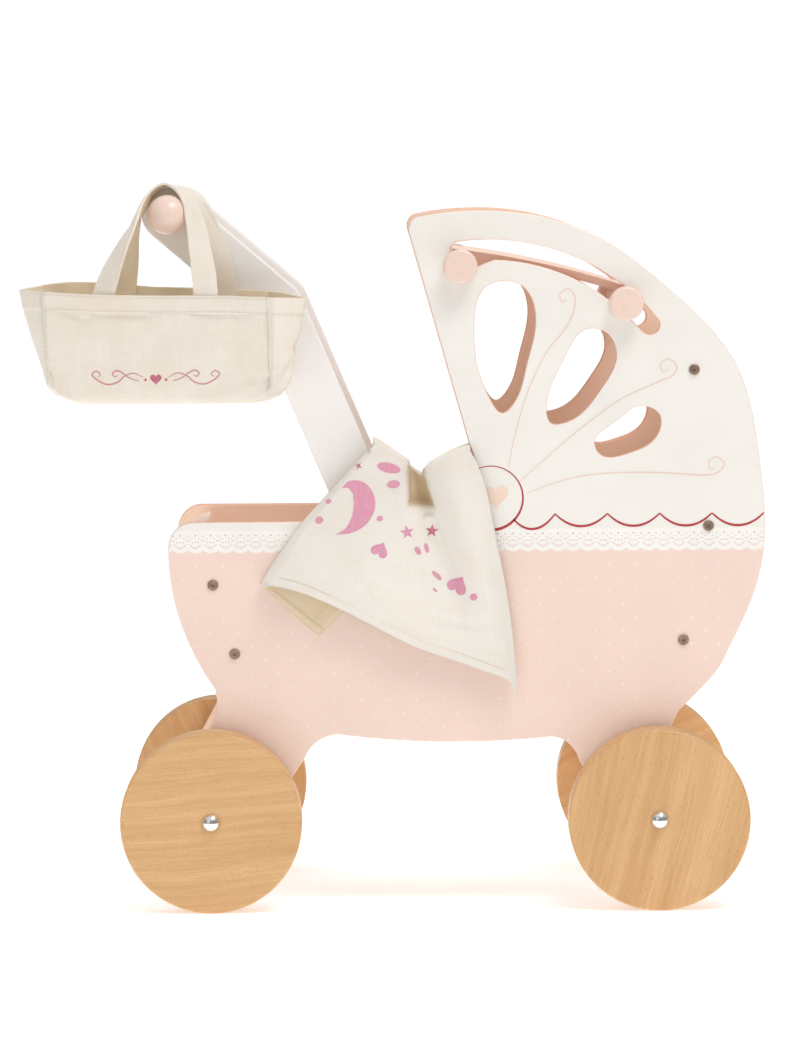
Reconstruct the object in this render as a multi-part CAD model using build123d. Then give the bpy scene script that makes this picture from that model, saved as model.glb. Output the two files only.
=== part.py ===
from build123d import *
from math import atan2, cos, degrees, hypot, radians, sin
import os

os.makedirs("parts", exist_ok=True)

# Doll's pram, millimetres. +X points from the push handle to the hood, +Y to the
# pram's left, +Z up. The origin is on the floor, under the middle of the pram.

# ---------------------------------------------------------------- driving sizes
PANEL_OUTER_Y = 109.0      # outer face of each side panel, from the middle
PANEL_T = 10.0             # side panel board
PANEL_INNER_Y = PANEL_OUTER_Y - PANEL_T
EDGE_R = 1.2               # rounding of the board edges
BOARD_T = 12.0             # tub end boards, hood rail and handle arms

WHEEL_R = 72.0
WHEEL_W = 32.0
WHEEL_OUTER_Y = 145.0
REAR_AXLE_X = -147.0       # at the handle end
FRONT_AXLE_X = 208.0       # at the hood end
AXLE_R = 4.0
RUN_CLEARANCE = 0.05
WHEEL_GAP = 0.4            # side play between a wheel and its neighbours
FOOT_R = 35.4              # round foot of each leg, about the axle
HUB_CAP_R = 7.3
HUB_CAP_H = 5.1

RIM_Z = 308.0              # top edge of the tub
TUB_LEFT_X = -180.0
TUB_CORNER_R = 20.0
BOSS_C = (76.0, 326.0)     # round boss at the foot of the hood
BOSS_R = 29.0
HOOD_FRONT_TOP = (12.5, 537.0)
FLOOR_TOP_Z = 186.0
FLOOR_T = 9.0

SLOT_C = (75.0, 357.0)     # middle of the hood's arched slot
SLOT_R = 166.0
SLOT_W = 16.0
SLOT_END_DEG = 39.6        # slot end towards the hood's back
SLOT_START_DEG = 97.6

SHADE_FRONT = (53.0, 510.0)     # front bar of the shade, resting in the slot's notch
SHADE_REAR = (184.0, 480.0)     # rear bar of the shade
SHADE_PIVOT = (117.5, 397.2)    # the shade turns about this line as it slides back
SHADE_TRAVEL_DEG = 12.8
SHADE_BAR_R = 6.0
SHADE_BOARD_T = 6.0
SHADE_KNOB_R = 13.5
SHADE_KNOB_T = 14.0

HANDLE_TOP = (-178.0, 552.0)    # crossbar and knob line
HANDLE_ELBOW = (-92.0, 478.0)
HANDLE_FOOT = (5.0, 250.0)
HANDLE_ARM_W = 42.0
HANDLE_BAR_R = 10.0
KNOB_BALL_R = 15.8
KNOB_BALL_Y = 112.5
HANDLE_SCREW_R = 1.8

# Connector screws through each side panel, by the board that they hold.
FOOT_SCREWS = [(-145.0, 258.0), (-128.0, 203.0)]
HEAD_SCREWS = [(249.0, 303.0), (229.0, 212.0)]
RAIL_SCREW = (238.0, 427.0)
SCREW_R = 2.0
SCREW_L = 38.0
SCREW_HEAD_R = 4.3
SCREW_HEAD_T = 1.4
BARREL_R = 3.5
BARREL_IN = 24.0           # barrel nut, from the board's end

BAG_X = -181.5
BAG_Y = -126.0
BAG_FLOOR_Z = 404.0
BAG_RIM_Z = 488.0
BAG_L = 226.0
BAG_D = 48.0
BAG_WALL = 1.6
STRAP_W = 19.0
STRAP_T = 1.6
STRAP_LAYER = 4.6          # the front strap turns this far outside the back one
FRONT_STRAP_LEAD = 9.5     # and comes down this far in front of it

BLANKET_T = 3.4
SOFT_GAP = 0.4             # air between a soft part and its neighbour


# ---------------------------------------------------------------- helpers
def slab(face, y_low, y_high):
    """A face drawn in X and Z, made solid from y_low to y_high."""
    return extrude(Plane.XZ.offset(-y_high) * face, amount=y_high - y_low)


def rod_y(x, z, radius, y_low, y_high):
    """A round rod that lies along Y."""
    return slab(Pos(x, z) * Circle(radius), y_low, y_high)


def mirrored(shape):
    return mirror(shape, about=Plane.XZ)


def polar(centre, radius, angle_deg):
    a = radians(angle_deg)
    return (centre[0] + radius * cos(a), centre[1] + radius * sin(a))


def rounded(shape, radius, y_plane):
    """Round the edges of the flat face that lies at y_plane."""
    edges = [e for e in shape.edges() if abs(e.bounding_box().min.Y - y_plane) < 0.01
             and abs(e.bounding_box().max.Y - y_plane) < 0.01]
    return fillet(edges, radius)


def board_between(centre, along, length, thickness):
    """A cross board whose length runs from panel to panel: its section stands at
    centre, with its height along the direction given."""
    tilt = degrees(atan2(along[1], along[0])) - 90
    section = Pos(*centre) * Rot(0, 0, tilt) * Rectangle(thickness, length)
    return slab(section, -PANEL_INNER_Y, PANEL_INNER_Y)


def save(name, shape):
    parts = shape if isinstance(shape, list) else [shape]
    solids = [s for p in parts for s in p.solids()]
    whole = solids[0] if len(solids) == 1 else Compound(children=solids)
    whole.label = name
    export_step(whole, f"parts/{name}.step")


# ---------------------------------------------------------------- side panels
def side_outline():
    """One closed outline: tub, two legs with round feet, boss and hood."""
    rear = (REAR_AXLE_X, WHEEL_R)
    front = (FRONT_AXLE_X, WHEEL_R)
    boss_low = (BOSS_C[0] - (BOSS_R**2 - (BOSS_C[1] - RIM_Z)**2)**0.5, RIM_Z)
    boss_left = (BOSS_C[0] - BOSS_R, BOSS_C[1])
    boss_top = polar(BOSS_C, BOSS_R, 113.5)
    corner_c = (TUB_LEFT_X + TUB_CORNER_R, RIM_Z - TUB_CORNER_R)
    leg_lean = 28.6            # outer sides of the legs, from upright

    rear_foot_out = polar(rear, FOOT_R, 180 - leg_lean)
    rear_foot_in = polar(rear, FOOT_R, -33.7)
    front_foot_in = polar(front, FOOT_R, 180 + 26.6)
    front_foot_out = polar(front, FOOT_R, leg_lean)

    return [
        Line((corner_c[0], RIM_Z), boss_low),
        ThreePointArc(boss_low, boss_left, boss_top),
        Line(boss_top, HOOD_FRONT_TOP),
        ThreePointArc(HOOD_FRONT_TOP, (13.8, 545.0), (21.0, 549.5)),
        Spline((21.0, 549.5), (70.0, 554.0), (117.0, 549.0), (163.0, 532.0),
               (223.0, 487.0), (272.0, 430.0), (289.0, 362.0), (294.0, 302.0),
               (286.5, 253.0), (264.0, 202.0), (225.6, 155.6),
               tangents=[(1.0, 0.2), (-0.72, -0.70)]),
        ThreePointArc((225.6, 155.6), (219.0, 139.5), (221.5, 121.0)),
        Line((221.5, 121.0), front_foot_out),
        ThreePointArc(front_foot_out, polar(front, FOOT_R, -90), front_foot_in),
        Line(front_foot_in, (145.5, 117.0)),
        ThreePointArc((145.5, 117.0), (137.6, 129.6), (124.0, 135.2)),
        ThreePointArc((124.0, 135.2), (38.0, 131.5), (-47.0, 138.0)),
        ThreePointArc((-47.0, 138.0), (-62.4, 132.6), (-73.0, 119.0)),
        Line((-73.0, 119.0), rear_foot_in),
        ThreePointArc(rear_foot_in, polar(rear, FOOT_R, -90), rear_foot_out),
        Line(rear_foot_out, (-149.0, 143.0)),
        ThreePointArc((-149.0, 143.0), (-142.6, 160.0), (-144.5, 176.0)),
        ThreePointArc((-144.5, 176.0), (-171.5, 230.0), (TUB_LEFT_X, corner_c[1] - 8)),
        Line((TUB_LEFT_X, corner_c[1] - 8), (TUB_LEFT_X, corner_c[1])),
        ThreePointArc((TUB_LEFT_X, corner_c[1]), polar(corner_c, TUB_CORNER_R, 135),
                      (corner_c[0], RIM_Z)),
    ]


def petal(*points):
    return make_face(Spline(*points, periodic=True))


def petals():
    """Three leaf-shaped windows that fan out from the boss."""
    return [
        petal((88, 498), (106, 490), (112.5, 467), (105, 431), (94, 400),
              (86, 393.5), (76, 405), (66.5, 430), (63.8, 464), (71, 491)),
        petal((159, 460), (173, 452), (176.5, 439), (164, 412), (137, 386),
              (124, 385.5), (121, 397), (136, 438)),
        petal((200, 398), (211.5, 388), (207, 373), (186, 361), (163, 360.5),
              (159, 368), (180, 389)),
    ]


def shade_slot():
    """The arched slot, and at its front end a notch that the front bar drops into."""
    arc = CenterArc(SLOT_C, SLOT_R, SLOT_END_DEG, SLOT_START_DEG - SLOT_END_DEG)
    slot = SlotArc(arc, SLOT_W)
    reach = hypot(SHADE_FRONT[0] - SHADE_PIVOT[0], SHADE_FRONT[1] - SHADE_PIVOT[1])
    start = degrees(atan2(SHADE_FRONT[1] - SHADE_PIVOT[1], SHADE_FRONT[0] - SHADE_PIVOT[0]))
    notch = CenterArc(SHADE_PIVOT, reach, start, -SHADE_TRAVEL_DEG)
    return slot + SlotArc(notch, 2 * SHADE_BAR_R + 1.0)


def screw_spots():
    return FOOT_SCREWS + HEAD_SCREWS + [RAIL_SCREW]


def side_panel():
    """Right-hand panel, with its outer face towards -Y."""
    face = make_face(Wire(side_outline())) - shade_slot()
    for window in petals():
        face -= window
    panel = slab(face, -PANEL_OUTER_Y, -PANEL_INNER_Y)
    for y in (-PANEL_OUTER_Y, -PANEL_INNER_Y):
        panel = rounded(panel, EDGE_R, y)
    for x, z in screw_spots():
        panel -= rod_y(x, z, SCREW_R, -PANEL_OUTER_Y, -PANEL_INNER_Y)
    for x in (REAR_AXLE_X, FRONT_AXLE_X):
        panel -= rod_y(x, WHEEL_R, AXLE_R, -PANEL_OUTER_Y, -PANEL_INNER_Y)
    for x, z in handle_screw_spots():
        panel -= rod_y(x, z, HANDLE_SCREW_R, -(PANEL_INNER_Y + 6.0), -PANEL_INNER_Y)
    return panel


# ---------------------------------------------------------------- tub and hood boards
def connector_cuts(spots, along):
    """Holes in a cross board's ends for the connector screws and barrel nuts."""
    cuts = []
    for x, z in spots:
        for side in (-1, 1):
            end = side * PANEL_INNER_Y
            inner = side * (PANEL_OUTER_Y - SCREW_L - 2)
            cuts.append(rod_y(x, z, SCREW_R + 0.15, min(end, inner), max(end, inner)))
            cuts.append(barrel_nut_body(x, z, side, along))
    return cuts


def barrel_nut_body(x, z, side, along):
    """A barrel nut stands across the board, with its axis square to the board."""
    y = side * (PANEL_INNER_Y - BARREL_IN)
    tilt = degrees(atan2(along[1], along[0])) - 90
    lying = Rot(0, 90, 0) * Cylinder(BARREL_R, BOARD_T)
    return Pos(x, y, z) * Rot(0, -tilt, 0) * lying


def direction(a, b):
    return (b[0] - a[0], b[1] - a[1])


FOOT_ALONG = direction(FOOT_SCREWS[1], FOOT_SCREWS[0])
HEAD_ALONG = direction(HEAD_SCREWS[1], HEAD_SCREWS[0])
RAIL_ALONG = (-0.36, 0.93)


def along_line(a, along, z):
    """The point at height z on the line through a."""
    return (a[0] + along[0] * (z - a[1]) / along[1], z)


def end_board(screws, along, z_low, z_high):
    low = along_line(screws[0], along, z_low)
    high = along_line(screws[0], along, z_high)
    centre = ((low[0] + high[0]) / 2, (low[1] + high[1]) / 2)
    board = board_between(centre, along, hypot(*direction(low, high)), BOARD_T)
    board = board.fillet(2.0, [e for e in board.edges().filter_by(Axis.Y)
                               if e.center().Z > centre[1]])
    for cut in connector_cuts(screws, along):
        board -= cut
    return board


def hood_back_rail():
    rail = board_between(RAIL_SCREW, RAIL_ALONG, 44.0, BOARD_T)
    rail = rail.fillet(3.0, rail.edges().filter_by(Axis.Y))
    for cut in connector_cuts([RAIL_SCREW], RAIL_ALONG):
        rail -= cut
    return rail


def base_board():
    """Tub floor, cut slanting at both ends to lie against the end boards."""
    half = BOARD_T / 2 + 0.2
    corners = []
    for z in (FLOOR_TOP_Z - FLOOR_T, FLOOR_TOP_Z):
        corners.append(along_line(FOOT_SCREWS[0], FOOT_ALONG, z)[0] + half + 0.5)
        corners.append(along_line(HEAD_SCREWS[0], HEAD_ALONG, z)[0] - half - 0.3)
    low, top = FLOOR_TOP_Z - FLOOR_T, FLOOR_TOP_Z
    face = make_face(Polyline((corners[0], low), (corners[1], low),
                              (corners[3], top), (corners[2], top), close=True))
    return slab(face, -PANEL_INNER_Y + 0.3, PANEL_INNER_Y - 0.3)


def base_cleat(side):
    """Batten glued to the panel under the tub floor."""
    section = Box(290, BOARD_T, BOARD_T)
    y = side * (PANEL_INNER_Y - BOARD_T / 2)
    return Pos(52, y, FLOOR_TOP_Z - FLOOR_T - BOARD_T / 2) * section


# ---------------------------------------------------------------- fasteners
def connector_screw(x, z):
    """Flat-headed connector screw with a hexagon socket, in the right panel."""
    head_y = -PANEL_OUTER_Y - SCREW_HEAD_T
    head = rod_y(x, z, SCREW_HEAD_R, head_y, -PANEL_OUTER_Y)
    head = rounded(head, 0.5, head_y)
    shaft = rod_y(x, z, SCREW_R, -PANEL_OUTER_Y, -PANEL_OUTER_Y + SCREW_L)
    socket = Pos(x, z) * RegularPolygon(1.7, 6)
    return head + shaft - slab(socket, head_y, head_y + 1.9)


def barrel_nuts(side):
    nuts = []
    for spots, along in ((FOOT_SCREWS, FOOT_ALONG), (HEAD_SCREWS, HEAD_ALONG),
                         ([RAIL_SCREW], RAIL_ALONG)):
        for x, z in spots:
            nut = barrel_nut_body(x, z, side, along)
            nuts.append(nut - rod_y(x, z, SCREW_R, -200, 200))
    return nuts


# ---------------------------------------------------------------- wheels and axles
def wheel(x, side):
    inner = WHEEL_OUTER_Y - WHEEL_W
    face = Pos(x, WHEEL_R) * Circle(WHEEL_R)
    face -= Pos(x, WHEEL_R) * Circle(AXLE_R + RUN_CLEARANCE)
    low, high = sorted((side * WHEEL_OUTER_Y, side * inner))
    disc = slab(face, low, high)
    rims = [e for e in disc.edges() if e.length > 100]
    return fillet(rims, 2.2)


def axle(x):
    end = WHEEL_OUTER_Y + 3.0
    return rod_y(x, WHEEL_R, AXLE_R, -end, end)


def wheel_spacers(x):
    """A washer on each side, between the leg and the wheel."""
    outer = WHEEL_OUTER_Y - WHEEL_W - WHEEL_GAP
    ring = Pos(x, WHEEL_R) * (Circle(9.0) - Circle(AXLE_R))
    washer = slab(ring, -outer, -PANEL_OUTER_Y)
    return [washer, mirrored(washer)]


def hub_cap(x, side):
    """Domed push-on cap over the end of the axle."""
    base_y = WHEEL_OUTER_Y + WHEEL_GAP
    ball_r = (HUB_CAP_R**2 + HUB_CAP_H**2) / (2 * HUB_CAP_H)
    ball = Pos(x, -(base_y + HUB_CAP_H - ball_r), WHEEL_R) * Sphere(ball_r)
    dome = ball & Pos(x, -(base_y + 10), WHEEL_R) * Box(40, 20, 40)
    dome -= rod_y(x, WHEEL_R, AXLE_R, -(WHEEL_OUTER_Y + 3.0), 0)
    return dome if side < 0 else mirrored(dome)


# ---------------------------------------------------------------- push handle
def handle_arm():
    """Bent board that stands against the inner face of the right panel."""
    r = HANDLE_ARM_W / 2
    face = Pos(*HANDLE_TOP) * Circle(r)
    for a, b in ((HANDLE_TOP, HANDLE_ELBOW), (HANDLE_ELBOW, HANDLE_FOOT)):
        face += SlotCenterToCenter(hypot(*direction(a, b)), HANDLE_ARM_W).moved(
            Location(((a[0] + b[0]) / 2, (a[1] + b[1]) / 2, 0),
                     (0, 0, degrees(atan2(b[1] - a[1], b[0] - a[0])))))
    face -= Pos(*HANDLE_TOP) * Circle(HANDLE_BAR_R)
    inner = PANEL_INNER_Y - BOARD_T
    arm = slab(face, -PANEL_INNER_Y, -inner)
    rims = [e for e in arm.edges() if abs(e.bounding_box().max.Y - e.bounding_box().min.Y) < 0.01
            and not (e.geom_type == GeomType.CIRCLE and abs(e.radius - HANDLE_BAR_R) < 0.1)]
    arm = fillet(rims, 2.2)
    for x, z in handle_screw_spots():
        arm -= handle_screw(x, z)
    return arm


def handle_screw_spots():
    """Two wood screws hold each arm to its panel."""
    along = direction(HANDLE_FOOT, HANDLE_ELBOW)
    length = hypot(*along)
    return [(HANDLE_FOOT[0] + along[0] * d / length, HANDLE_FOOT[1] + along[1] * d / length)
            for d in (4.0, 38.0)]


def handle_screw(x, z):
    """Countersunk wood screw, from inside the tub into the right panel."""
    face_y = -(PANEL_INNER_Y - BOARD_T)
    cone = Pos(x, face_y - 1.4, z) * Rot(-90, 0, 0) * Cone(HANDLE_SCREW_R, 4.0, 2.8)
    return cone + rod_y(x, z, HANDLE_SCREW_R, face_y - 18.0, face_y - 2.6)


def handle_knob():
    x, z = HANDLE_TOP
    ball = Pos(x, -KNOB_BALL_Y, z) * Sphere(KNOB_BALL_R)
    return ball - rod_y(x, z, 40.0, -PANEL_INNER_Y, 0)


# ---------------------------------------------------------------- sliding shade
def shade_board():
    """Thin arched board that lies on the two bars, between the hood sides."""
    over = SHADE_BAR_R + SHADE_BOARD_T / 2
    chord = direction(SHADE_FRONT, SHADE_REAR)
    length = hypot(*chord)
    tilt = degrees(atan2(chord[1], chord[0]))
    half = length / 2
    rise = 4.0                       # how far the board arches over its length
    ends = SHADE_BAR_R + 2.0         # the board runs this far past each bar
    top = ThreePointArc((-half - ends, over + SHADE_BOARD_T / 2),
                        (0, over + SHADE_BOARD_T / 2 + rise),
                        (half + ends, over + SHADE_BOARD_T / 2))
    low = ThreePointArc((half + ends, over - SHADE_BOARD_T / 2),
                        (0, over - SHADE_BOARD_T / 2 + rise),
                        (-half - ends, over - SHADE_BOARD_T / 2))
    section = make_face(Wire([top, Line(top @ 1, low @ 0), low, Line(low @ 1, top @ 0)]))
    middle = ((SHADE_FRONT[0] + SHADE_REAR[0]) / 2, (SHADE_FRONT[1] + SHADE_REAR[1]) / 2)
    placed = Pos(*middle) * Rot(0, 0, tilt) * section
    board = slab(placed, -PANEL_INNER_Y + 0.6, PANEL_INNER_Y - 0.6)
    for x, z in (SHADE_FRONT, SHADE_REAR):
        board -= rod_y(x, z, SHADE_BAR_R, -200, 200)
    return board


def shade_bar(spot):
    end = PANEL_OUTER_Y + 10.0
    return rod_y(*spot, SHADE_BAR_R, -end, end)


def shade_knob(spot, side):
    """Turned disc on the end of a bar, just clear of the panel."""
    inner = PANEL_OUTER_Y + 0.6
    outer = inner + SHADE_KNOB_T
    disc = rod_y(*spot, SHADE_KNOB_R, -outer, -inner)
    disc = fillet(disc.edges().filter_by(GeomType.CIRCLE), 2.8)
    disc -= rod_y(*spot, SHADE_BAR_R, -(PANEL_OUTER_Y + 10.0), 0)
    return disc if side < 0 else mirrored(disc)


# ---------------------------------------------------------------- bag
def bag_section(length, depth, z):
    return Pos(BAG_X, BAG_Y, z) * SlotOverall(length, depth)


def bag_body():
    """Boat-shaped tote, open at the top."""
    rise = 16.0
    outer = loft([bag_section(BAG_L - 40, BAG_D - 8, BAG_FLOOR_Z),
                  bag_section(BAG_L - 22, BAG_D - 2, BAG_FLOOR_Z + rise),
                  bag_section(BAG_L, BAG_D, BAG_RIM_Z)], ruled=True)
    cut = 2 * BAG_WALL
    inner = loft([bag_section(BAG_L - 40 - cut, BAG_D - 8 - cut, BAG_FLOOR_Z + BAG_WALL),
                  bag_section(BAG_L - 22 - cut, BAG_D - 2 - cut, BAG_FLOOR_Z + rise),
                  bag_section(BAG_L - cut, BAG_D - cut, BAG_RIM_Z)], ruled=True)
    return outer - inner


def strap(stations):
    """Flat webbing: each station is a point, the direction across the web, the
    direction along it and the width that shows there."""
    sections = []
    for point, across, along, width in stations:
        plane = Plane(origin=point, x_dir=across, z_dir=along)
        sections.append(plane * Rectangle(width, STRAP_T))
    return loft(sections, ruled=True)


def strap_over_arm(left_x, right_x, rim_y, top_y, turn_from, layer):
    """A strap that rises from the rim, turns over the rounded end of the handle
    arm and comes down in front of the arm to the rim again."""
    r = HANDLE_ARM_W / 2 + 3 * SOFT_GAP + STRAP_T / 2 + layer * STRAP_LAYER
    rim_z = BAG_RIM_Z - 1.0
    folded = STRAP_W * 0.68          # the web is bunched where it turns
    lean = 0.25 if rim_y > -PANEL_OUTER_Y else -0.9
    stations = [((left_x, rim_y, rim_z), (1, 0, 0), (0, lean, 1.0), STRAP_W)]
    for deg in (turn_from, (turn_from + 112) / 2, 112, 94, 76):
        x, z = polar(HANDLE_TOP, r, deg)
        a = radians(deg)
        stations.append(((x, top_y, z), (0, 1, 0), (sin(a), 0, -cos(a)), folded))
    x, z = polar(HANDLE_TOP, r + 1.0, 38)
    before_arm = -PANEL_INNER_Y - 2 * SOFT_GAP - folded / 2 - FRONT_STRAP_LEAD * layer
    stations.append(((x, before_arm, z), (0, 1, 0), (0.78, 0, -0.62), folded))
    stations.append(((right_x, rim_y, rim_z), (1, 0, 0), (0, lean, -1.0), STRAP_W))
    return strap(stations)


# ---------------------------------------------------------------- blanket
def blanket():
    """Cotton blanket over the right-hand side: a front fall outside the panel, a
    crest, and an inner fall inside the tub."""
    front_y = -PANEL_OUTER_Y - SOFT_GAP
    inner_y = -(PANEL_INNER_Y - BOARD_T) + SOFT_GAP
    crest = [(-15.0, 368.0), (22.0, 343.0), (57.0, 363.0)]
    fall = Polyline(*crest, (66, 352), (79, 299), (95, 185), (96, 169), (86, 184), (13, 210),
                    (-41, 238), (-88, 257), (-107, 259), (-72, 309), (-51, 332), close=True)
    inner = Polyline(*crest, (55, 300), (52, 244), (-48, 244), (-18, 320), close=True)
    below = [(x, z - BLANKET_T) for x, z in crest]
    ridge = Polyline(*crest, *reversed(below), close=True)
    body = slab(make_face(fall), front_y - BLANKET_T, front_y)
    body += slab(make_face(ridge), front_y - BLANKET_T, inner_y + BLANKET_T)
    return body + slab(make_face(inner), inner_y, inner_y + BLANKET_T)


# ---------------------------------------------------------------- write the parts
def main():
    right = side_panel()
    save("side_panel_right", right)
    save("side_panel_left", mirrored(right))
    save("foot_end_panel", end_board(FOOT_SCREWS, FOOT_ALONG, 178.0, 301.0))
    save("head_end_panel", end_board(HEAD_SCREWS, HEAD_ALONG, 178.0, 334.0))
    save("hood_back_rail", hood_back_rail())
    save("base_board", base_board())
    for name, side in (("right", -1), ("left", 1)):
        save(f"base_cleat_{name}", base_cleat(side))
        save(f"barrel_nuts_{name}", barrel_nuts(side))

    screws = [connector_screw(x, z) for x, z in screw_spots()]
    save("connector_screws_right", screws)
    save("connector_screws_left", [mirrored(s) for s in screws])

    for end, x in (("rear", REAR_AXLE_X), ("front", FRONT_AXLE_X)):
        save(f"axle_{end}", axle(x))
        save(f"wheel_spacers_{end}", wheel_spacers(x))
        for name, side in (("right", -1), ("left", 1)):
            save(f"wheel_{end}_{name}", wheel(x, side))
            save(f"hub_cap_{end}_{name}", hub_cap(x, side))

    arm = handle_arm()
    save("handle_arm_right", arm)
    save("handle_arm_left", mirrored(arm))
    save("handle_bar", rod_y(*HANDLE_TOP, HANDLE_BAR_R, -PANEL_INNER_Y, PANEL_INNER_Y))
    knob = handle_knob()
    save("handle_knob_right", knob)
    save("handle_knob_left", mirrored(knob))
    arm_screws = [handle_screw(x, z) for x, z in handle_screw_spots()]
    save("handle_screws", arm_screws + [mirrored(s) for s in arm_screws])

    save("shade_board", shade_board())
    for end, spot in (("front", SHADE_FRONT), ("rear", SHADE_REAR)):
        save(f"shade_bar_{end}", shade_bar(spot))
        for name, side in (("right", -1), ("left", 1)):
            save(f"shade_knob_{end}_{name}", shade_knob(spot, side))

    save("bag_body", bag_body())
    front_rim, back_rim = BAG_Y - BAG_D / 2 + 3.0, BAG_Y + BAG_D / 2 - 3.0
    save("bag_strap_front", strap_over_arm(-228.0, -151.0, front_rim, -105.0, 142, 1))
    save("bag_strap_back", strap_over_arm(-214.0, -131.0, back_rim, -100.0, 168, 0))
    save("blanket", blanket())


main()
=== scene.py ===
import math

import bmesh
import bpy
from mathutils import Matrix, Vector, noise
from mathutils.bvhtree import BVHTree


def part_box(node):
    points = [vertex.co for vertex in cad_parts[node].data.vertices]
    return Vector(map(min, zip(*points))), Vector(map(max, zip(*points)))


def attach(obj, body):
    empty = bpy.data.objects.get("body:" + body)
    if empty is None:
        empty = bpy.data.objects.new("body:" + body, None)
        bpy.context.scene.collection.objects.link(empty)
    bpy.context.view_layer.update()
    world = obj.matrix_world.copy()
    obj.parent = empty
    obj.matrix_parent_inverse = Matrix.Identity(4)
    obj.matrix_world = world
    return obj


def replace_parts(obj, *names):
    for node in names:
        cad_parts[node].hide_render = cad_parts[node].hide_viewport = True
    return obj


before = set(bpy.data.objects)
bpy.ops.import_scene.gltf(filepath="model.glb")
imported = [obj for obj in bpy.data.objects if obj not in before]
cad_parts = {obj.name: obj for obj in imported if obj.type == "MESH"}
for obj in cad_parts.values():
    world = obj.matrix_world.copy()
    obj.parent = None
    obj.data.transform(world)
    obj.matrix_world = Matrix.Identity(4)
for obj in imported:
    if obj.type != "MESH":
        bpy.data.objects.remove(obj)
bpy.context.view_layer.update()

# Lengths are in millimetres until mm() or a mesh builder turns them into metres.
MM = 0.001

PANEL_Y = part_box("side_panel_right")[0].y / MM    # outer face of the right-hand panel
PANEL_T = 10.0
ARM_T = 12.0                               # a handle arm lies against the panel's inner face
TUB_Z = 308.0                              # top edge of the tub
BOSS = (76.4, 326.0)                       # middle of the round boss
BALL_LOW, BALL_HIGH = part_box("handle_knob_right")
HANDLE_X = (BALL_LOW.x + BALL_HIGH.x) / 2 / MM
HANDLE_Z = (BALL_LOW.z + BALL_HIGH.z) / 2 / MM
ARM_R = 21.0                               # rounded end and half width of a handle arm
ARM_ELBOW = (-92.0, 478.0)
BAG_LOW, BAG_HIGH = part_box("bag_body")
BAG_Y = (BAG_LOW.y + BAG_HIGH.y) / 2 / MM
BAG_FLOOR_Z = BAG_LOW.z / MM


def mm(x, y, z):
    return Vector((x, y, z)) * MM


def srgb(red, green, blue):
    """A display colour, 0 to 255, as the linear colour that a shader takes."""
    def linear(value):
        c = value / 255
        return c / 12.92 if c <= 0.04045 else ((c + 0.055) / 1.055) ** 2.4
    return (linear(red), linear(green), linear(blue), 1.0)


def smooth(low, high, value):
    t = min(1.0, max(0.0, (value - low) / (high - low)))
    return t * t * (3 - 2 * t)


def bump(value, middle, width):
    return math.exp(-((value - middle) / width) ** 2)


def between(table, value):
    """Straight-line reading of a short list of (place, height) pairs."""
    for (a, low), (b, high) in zip(table, table[1:]):
        if value <= b:
            return low + (high - low) * max(0.0, (value - a) / (b - a))
    return table[-1][1]


def spline(points, count):
    """A smooth open line through the points, as count points."""
    pts = [Vector(p) for p in points]
    ends = [2 * pts[0] - pts[1]] + pts + [2 * pts[-1] - pts[-2]]
    line = []
    for k in range(count):
        s = k / (count - 1) * (len(pts) - 1)
        i = min(int(s), len(pts) - 2)
        t = s - i
        a, b, c, d = ends[i:i + 4]
        line.append(0.5 * (2 * b + (c - a) * t + (2 * a - 5 * b + 4 * c - d) * t * t
                           + (3 * b - a - 3 * c + d) * t ** 3))
    return line


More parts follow.
